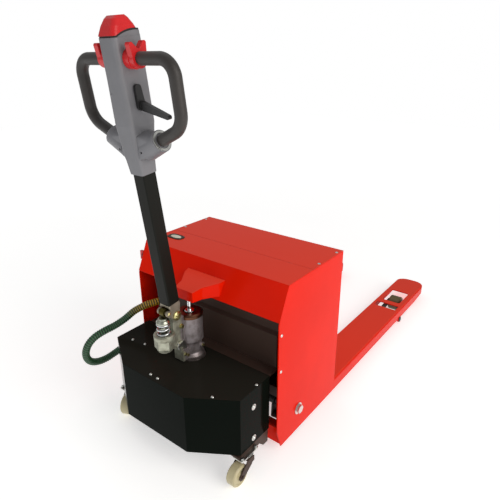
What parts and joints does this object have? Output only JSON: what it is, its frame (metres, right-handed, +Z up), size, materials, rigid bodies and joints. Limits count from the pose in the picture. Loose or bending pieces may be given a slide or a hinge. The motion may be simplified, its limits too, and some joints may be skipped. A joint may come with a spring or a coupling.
{
  "type": "electric pallet truck",
  "caption": "Walk-behind pallet truck with powered travel and a hand-pumped lift: two forks, boxed battery body, steered drive wheel and a tiller with looped grips.",
  "frame": {"origin": "on the floor, midway along the truck's length and on its centre plane, with the forks lowered", "axes": "+X towards the fork tips, +Y to the left as seen looking at the fork tips, +Z up"},
  "size_m": [1.8751, 0.7627, 1.4543],
  "materials": {
    "red_paint": "gloss",
    "deep_red_paint": "gloss",
    "black_paint": "satin",
    "grey_paint": "satin",
    "cast_body": "satin",
    "zinc_plate": "satin",
    "yellow_zinc": "satin",
    "bright_steel": "polished",
    "spring_steel": "satin",
    "grey_moulding": "matte",
    "black_moulding": "matte",
    "red_moulding": "gloss",
    "white_face": "gloss",
    "grip_rubber": "matte",
    "hose_rubber": "satin",
    "drive_tread": "matte",
    "nylon": "satin",
    "polyurethane": "satin",
    "battery_case": "matte",
    "alloy": "satin",
    "gland_brass": "satin"
  },
  "bodies": {
    "chassis": {"drive_frame": "black_paint", "drive_cover": "black_paint", "mast_plate": "black_paint", "cover_bolts": "zinc_plate", "steer_bearing_outer": "bright_steel", "castor_heads": "zinc_plate", "hose": "hose_rubber", "hose_glands": "black_moulding"},
    "drive_unit": {"steer_bearing_inner": "bright_steel", "drive_yoke": "grey_paint", "drive_axle": "zinc_plate", "pump_casting": "cast_body", "ram_gland": "gland_brass", "pump_bolts": "yellow_zinc", "pump_spring": "spring_steel"},
    "drive_wheel": {"drive_wheel_hub": "alloy", "drive_tyre": "drive_tread"},
    "ram": {"lift_ram": "bright_steel"},
    "piston": {"pump_piston": "bright_steel"},
    "valve_lever": {"release_lever": "zinc_plate"},
    "tiller": {"tiller_tube": "black_paint", "tiller_base": "black_paint", "tiller_pivot_bolt": "yellow_zinc", "head_housing": "grey_moulding", "handle_loop_left": "grip_rubber", "handle_loop_right": "grip_rubber", "loop_ferrules": "zinc_plate"},
    "pump_roller": {"tiller_roller": "bright_steel"},
    "reversing_button": {"belly_button": "red_moulding"},
    "throttle_left": {"throttle_left": "red_moulding"},
    "throttle_right": {"throttle_right": "red_moulding"},
    "lowering_lever": {"lowering_lever": "black_moulding"},
    "release_rod": {"release_rod": "bright_steel"},
    "castor_left": {"castor_fork_left": "black_paint"},
    "castor_right": {"castor_fork_right": "black_paint"},
    "castor_wheel_left": {"castor_wheel_left": "nylon"},
    "castor_wheel_right": {"castor_wheel_right": "nylon"},
    "fork_frame": {"body_shell": "red_paint", "battery_lid": "deep_red_paint", "panel_screws": "zinc_plate", "fork_left": "red_paint", "fork_right": "red_paint", "lift_nose": "deep_red_paint", "cross_member": "red_paint", "battery_tray": "red_paint", "batteries": "battery_case", "controller": "alloy", "gauge_bezel": "bright_steel", "gauge_lens": "white_face", "isolator_collar": "black_moulding", "crank_bolts": "zinc_plate", "fork_axles": "grey_paint"},
    "isolator": {"isolator_key": "red_moulding"},
    "crank": {"crank_shaft": "grey_paint"},
    "push_rod_left": {"push_rod_left": "grey_paint"},
    "push_rod_right": {"push_rod_right": "grey_paint"},
    "roller_arm_left": {"roller_arm_left": "grey_paint"},
    "roller_arm_right": {"roller_arm_right": "grey_paint"},
    "load_roller_left": {"load_roller_left": "polyurethane"},
    "load_roller_right": {"load_roller_right": "polyurethane"}
  },
  "joints": [
    {"name": "steering", "type": "hinge", "parent": "chassis", "child": "drive_unit", "pos_m": [-0.70096, 0, 0.11], "axis": [0, 0, 1], "range_deg": [-90, 90]},
    {"name": "drive_wheel_turn", "type": "hinge", "parent": "drive_unit", "child": "drive_wheel", "pos_m": [-0.70096, 0, 0.11], "axis": [0, 1, 0], "continuous": true},
    {"name": "ram_stroke", "type": "slide", "parent": "drive_unit", "child": "ram", "axis": [0, 0, 1], "range_m": [0, 0.115]},
    {"name": "tiller_swing", "type": "hinge", "parent": "drive_unit", "child": "tiller", "pos_m": [-0.78396, 0, 0.545], "axis": [0, -1, 0], "range_deg": [0, 65], "stiffness_Nm_per_rad": 28, "springref_deg": -28.65},
    {"name": "piston_stroke", "type": "slide", "parent": "drive_unit", "child": "piston", "axis": [0, 0, -1], "range_m": [0, 0.0408], "deforming": ["pump_spring"]},
    {"name": "valve_lever_turn", "type": "hinge", "parent": "drive_unit", "child": "valve_lever", "pos_m": [-0.75896, -0.019, 0.424], "axis": [0, 1, 0], "range_deg": [0, 16]},
    {"name": "pump_roller_turn", "type": "hinge", "parent": "tiller", "child": "pump_roller", "pos_m": [-0.81687, 0, 0.564], "axis": [0, 1, 0], "continuous": true},
    {"name": "reversing_press", "type": "slide", "parent": "tiller", "child": "reversing_button", "axis": [0.1305, 0, -0.9914], "range_m": [0, 0.004], "stiffness_N_per_m": 1500},
    {"name": "throttle_left_turn", "type": "hinge", "parent": "tiller", "child": "throttle_left", "pos_m": [-0.88994, 0.0425, 1.35005], "axis": [0, 1, 0], "range_deg": [-30, 30], "stiffness_Nm_per_rad": 0.6},
    {"name": "throttle_right_turn", "type": "hinge", "parent": "tiller", "child": "throttle_right", "pos_m": [-0.88994, -0.0425, 1.35005], "axis": [0, 1, 0], "range_deg": [-30, 30], "stiffness_Nm_per_rad": 0.6},
    {"name": "lowering_pull", "type": "hinge", "parent": "tiller", "child": "lowering_lever", "pos_m": [-0.87454, -0.0425, 1.23306], "axis": [0, -1, 0], "range_deg": [0, 20], "stiffness_Nm_per_rad": 1.2, "springref_deg": -17.19},
    {"name": "release_rod_pull", "type": "slide", "parent": "tiller", "child": "release_rod", "axis": [-0.1305, 0, 0.9914], "range_m": [0, 0.007]},
    {"name": "castor_left_swivel", "type": "hinge", "parent": "chassis", "child": "castor_left", "pos_m": [-0.76296, 0.298, 0.04], "axis": [0, 0, 1], "continuous": true},
    {"name": "castor_right_swivel", "type": "hinge", "parent": "chassis", "child": "castor_right", "pos_m": [-0.76296, -0.298, 0.04], "axis": [0, 0, 1], "continuous": true},
    {"name": "castor_wheel_left_turn", "type": "hinge", "parent": "castor_left", "child": "castor_wheel_left", "pos_m": [-0.80646, 0.27771, 0.04], "axis": [-0.4226, 0.9063, 0], "continuous": true},
    {"name": "castor_wheel_right_turn", "type": "hinge", "parent": "castor_right", "child": "castor_wheel_right", "pos_m": [-0.81096, -0.298, 0.04], "axis": [0, 1, 0], "continuous": true},
    {"name": "lift", "type": "slide", "parent": "chassis", "child": "fork_frame", "axis": [0, 0, 1], "range_m": [0, 0.115]},
    {"name": "isolator_turn", "type": "hinge", "parent": "fork_frame", "child": "isolator", "pos_m": [-0.5991, 0.3545, 0.61], "axis": [0, 1, 0], "range_deg": [0, 90]},
    {"name": "crank_turn", "type": "hinge", "parent": "fork_frame", "child": "crank", "pos_m": [-0.50096, 0, 0.129], "axis": [0, -1, 0], "range_deg": [0, 39.1]},
    {"name": "push_rod_left_turn", "type": "hinge", "parent": "crank", "child": "push_rod_left", "pos_m": [-0.5217, 0.2625, 0.07057], "axis": [0, 1, 0], "range_deg": [0, 39.1]},
    {"name": "roller_arm_left_turn", "type": "hinge", "parent": "fork_frame", "child": "roller_arm_left", "pos_m": [0.54104, 0.2625, 0.024], "axis": [0, 1, 0], "range_deg": [0, 51.17]},
    {"name": "load_roller_left_turn", "type": "hinge", "parent": "roller_arm_left", "child": "load_roller_left", "pos_m": [0.68104, 0.2625, 0.04], "axis": [0, 1, 0], "continuous": true},
    {"name": "push_rod_right_turn", "type": "hinge", "parent": "crank", "child": "push_rod_right", "pos_m": [-0.5217, -0.2625, 0.07057], "axis": [0, 1, 0], "range_deg": [0, 39.1]},
    {"name": "roller_arm_right_turn", "type": "hinge", "parent": "fork_frame", "child": "roller_arm_right", "pos_m": [0.54104, -0.2625, 0.024], "axis": [0, 1, 0], "range_deg": [0, 51.17]},
    {"name": "load_roller_right_turn", "type": "hinge", "parent": "roller_arm_right", "child": "load_roller_right", "pos_m": [0.68104, -0.2625, 0.04], "axis": [0, 1, 0], "continuous": true}
  ],
  "couplings": [
    {"joint": "ram_stroke", "follows": "lift", "ratio": 1},
    {"joint": "crank_turn", "follows": "lift", "rad_per_m": 5.9316},
    {"joint": "push_rod_left_turn", "follows": "lift", "rad_per_m": 5.9316},
    {"joint": "push_rod_right_turn", "follows": "lift", "rad_per_m": 5.9316},
    {"joint": "roller_arm_left_turn", "follows": "lift", "rad_per_m": 7.7634},
    {"joint": "roller_arm_right_turn", "follows": "lift", "rad_per_m": 7.7634},
    {"joint": "piston_stroke", "follows": "tiller_swing", "m_per_rad": 0.03596},
    {"joint": "throttle_right_turn", "follows": "throttle_left_turn", "ratio": 1},
    {"joint": "release_rod_pull", "follows": "lowering_pull", "m_per_rad": 0.0175},
    {"joint": "valve_lever_turn", "follows": "lowering_pull", "ratio": 0.75}
  ]
}
